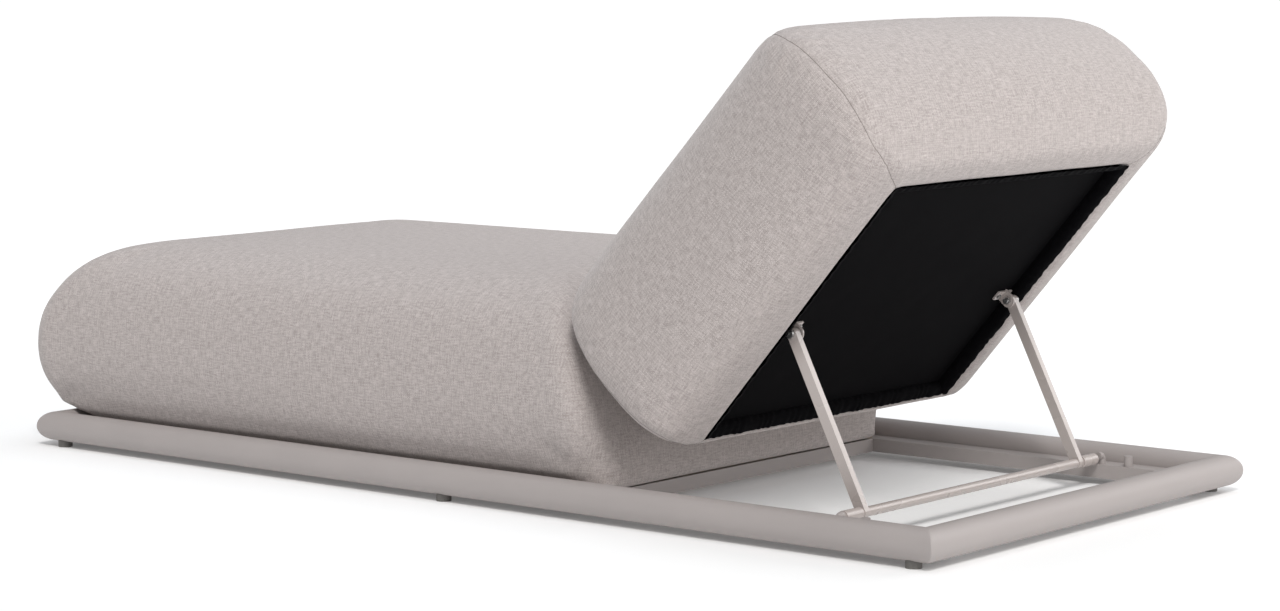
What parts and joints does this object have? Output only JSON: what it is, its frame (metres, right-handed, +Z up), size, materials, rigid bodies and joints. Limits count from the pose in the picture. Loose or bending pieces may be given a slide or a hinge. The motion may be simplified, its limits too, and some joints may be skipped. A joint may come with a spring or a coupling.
{
  "type": "sun lounger",
  "caption": "Low upholstered sun lounger: a tube frame with a thick seat cushion and a hinged backrest held up by a folding prop that stands in catches.",
  "frame": {"origin": "on the floor, under the middle of the lounger's length and width", "axes": "+X along the lounger towards its head end, +Y towards its left side, +Z up"},
  "size_m": [2.0261, 0.95, 0.7984],
  "materials": {
    "upholstery": "fine slubby outdoor weave, light warm grey",
    "foam": "open-cell foam",
    "board": "plywood",
    "dust_cloth": "black mesh cloth with a gathered edge",
    "frame_coat": "matte powder coat, warm light grey",
    "prop_coat": "satin powder coat, pale grey",
    "hinge_steel": "dark grey painted steel",
    "fastener": "stainless",
    "glide": "grey plastic"
  },
  "bodies": {
    "base": {"catch_hook_left": "frame_coat", "catch_hook_right": "frame_coat", "catch_peg_left": "frame_coat", "catch_peg_right": "frame_coat", "foot_cross_rail": "frame_coat", "foot_rail": "frame_coat", "glide_foot_left": "glide", "glide_foot_right": "glide", "glide_head_left": "glide", "glide_head_right": "glide", "glide_middle_left": "glide", "glide_middle_right": "glide", "head_rail": "frame_coat", "hinge_bracket_left": "hinge_steel", "hinge_bracket_right": "hinge_steel", "hinge_bracket_screws": "fastener", "hinge_pin_left": "hinge_steel", "hinge_pin_right": "hinge_steel", "ledge_left": "frame_coat", "ledge_right": "frame_coat", "mid_cross_rail": "frame_coat", "seat_board": "board", "seat_board_screws": "fastener", "seat_cushion": "upholstery", "seat_foam_core": "foam", "side_rail_left": "frame_coat", "side_rail_right": "frame_coat", "waist_cross_rail": "frame_coat"},
    "backrest": {"backrest_board": "board", "backrest_cushion": "upholstery", "backrest_dust_cover": "dust_cloth", "backrest_foam_core": "foam", "backrest_hem": "dust_cloth", "hinge_arm_left": "hinge_steel", "hinge_arm_right": "hinge_steel", "hinge_arm_screws": "fastener", "hinge_washer_left": "fastener", "hinge_washer_right": "fastener", "pivot_bolt_left": "fastener", "pivot_bolt_right": "fastener", "pivot_nut_left": "fastener", "pivot_nut_right": "fastener", "pivot_washer_left": "fastener", "pivot_washer_right": "fastener", "prop_bracket_left": "prop_coat", "prop_bracket_right": "prop_coat", "prop_bracket_screws": "fastener"},
    "prop": {"prop_crossbar": "prop_coat", "prop_sleeve_left": "prop_coat", "prop_sleeve_right": "prop_coat", "prop_strut_left": "prop_coat", "prop_strut_right": "prop_coat"}
  },
  "joints": [
    {"name": "backrest_recline", "type": "hinge", "parent": "base", "child": "backrest", "pos_m": [0.35, 0, 0.243], "axis": [0, -1, 0], "range_deg": [-49, 3]},
    {"name": "prop_fold", "type": "hinge", "parent": "backrest", "child": "prop", "pos_m": [0.64275, 0, 0.31673], "axis": [0, -1, 0], "range_deg": [-7, 109]}
  ],
  "couplings": [
    {"joint": "prop_fold", "follows": "backrest_recline", "ratio": -2.2}
  ]
}
